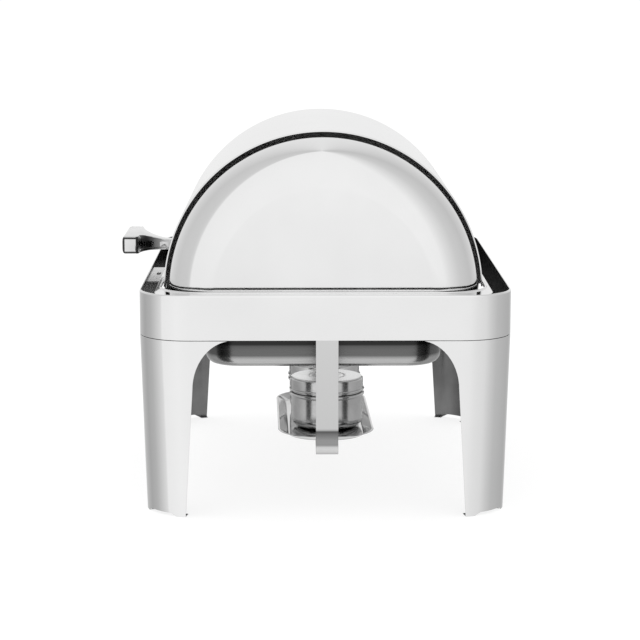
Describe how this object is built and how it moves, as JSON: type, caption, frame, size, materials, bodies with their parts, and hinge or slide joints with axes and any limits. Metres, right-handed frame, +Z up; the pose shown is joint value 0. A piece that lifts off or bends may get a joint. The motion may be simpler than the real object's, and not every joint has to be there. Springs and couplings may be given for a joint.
{
  "type": "chafing dish food warmer",
  "caption": "Full-size roll-top chafing dish: half-cylinder lid on end pivots, food and water pans, sheet-metal frame with bent legs, and fuel burners on a strap underneath.",
  "frame": {"origin": "centre of the bottom of the object's box, on the surface that the feet stand on", "axes": "+Z up, +X along the long side, the handle side faces -Y"},
  "size_m": [0.62, 0.4966, 0.4698],
  "materials": {
    "frame": "mirror-polished stainless steel sheet",
    "lid": "mirror-polished stainless steel sheet",
    "pans": "polished pressed stainless steel",
    "burner_stand": "polished stainless steel strip and tray",
    "burner_pots": "spun stainless steel with fine turning marks",
    "handle": "polished casting",
    "fittings": "plain stainless steel"
  },
  "bodies": {
    "frame": {"frame_band": "frame", "leg_front_left": "frame", "leg_front_right": "frame", "leg_rear_left": "frame", "leg_rear_right": "frame", "leg_joint_front_left": "fittings", "leg_joint_front_right": "fittings", "leg_joint_rear_left": "fittings", "leg_joint_rear_right": "fittings", "lid_collar": "frame", "collar_bracket": "frame", "pivot_bracket_left": "fittings", "pivot_pin_left": "fittings", "pivot_clip_left": "fittings", "pan_hanger_left": "fittings", "pan_rest_left": "fittings", "pivot_bracket_right": "fittings", "pivot_pin_right": "fittings", "pivot_clip_right": "fittings", "pan_hanger_right": "fittings", "pan_rest_right": "fittings", "fuel_strap": "burner_stand"},
    "lid": {"lid_shell": "lid", "lid_end_left": "lid", "lid_end_right": "lid", "lid_shoulder_left": "lid", "lid_shoulder_right": "lid", "lid_pivot_plate_left": "fittings", "lid_pivot_plate_right": "fittings", "lid_handle": "handle", "handle_screw_left": "fittings", "handle_screw_right": "fittings"},
    "water_pan": {"water_pan": "pans"},
    "food_pan": {"food_pan": "pans"},
    "burner_tray": {"burner_tray": "burner_stand", "fuel_pot_near": "burner_pots", "fuel_pot_far": "burner_pots"},
    "pot_cover_near": {"pot_cover_near": "burner_pots"},
    "pot_cover_far": {"pot_cover_far": "burner_pots"}
  },
  "joints": [
    {"name": "lid_roll", "type": "hinge", "parent": "frame", "child": "lid", "pos_m": [0, 0.016, 0.2695], "axis": [-1, 0, 0], "range_deg": [0, 70]},
    {"name": "water_pan_lift", "type": "slide", "parent": "frame", "child": "water_pan", "axis": [0, 0, 1], "range_m": [0, 0.02]},
    {"name": "food_pan_lift", "type": "slide", "parent": "water_pan", "child": "food_pan", "axis": [0, 0, 1], "range_m": [0, 0.045]},
    {"name": "burner_tray_slide", "type": "slide", "parent": "frame", "child": "burner_tray", "axis": [1, 0, 0], "range_m": [-0.175, 0]},
    {"name": "pot_cover_near_lift", "type": "slide", "parent": "burner_tray", "child": "pot_cover_near", "axis": [0, 0, 1], "range_m": [0, 0.022]},
    {"name": "pot_cover_far_lift", "type": "slide", "parent": "burner_tray", "child": "pot_cover_far", "axis": [0, 0, 1], "range_m": [0, 0.022]}
  ]
}
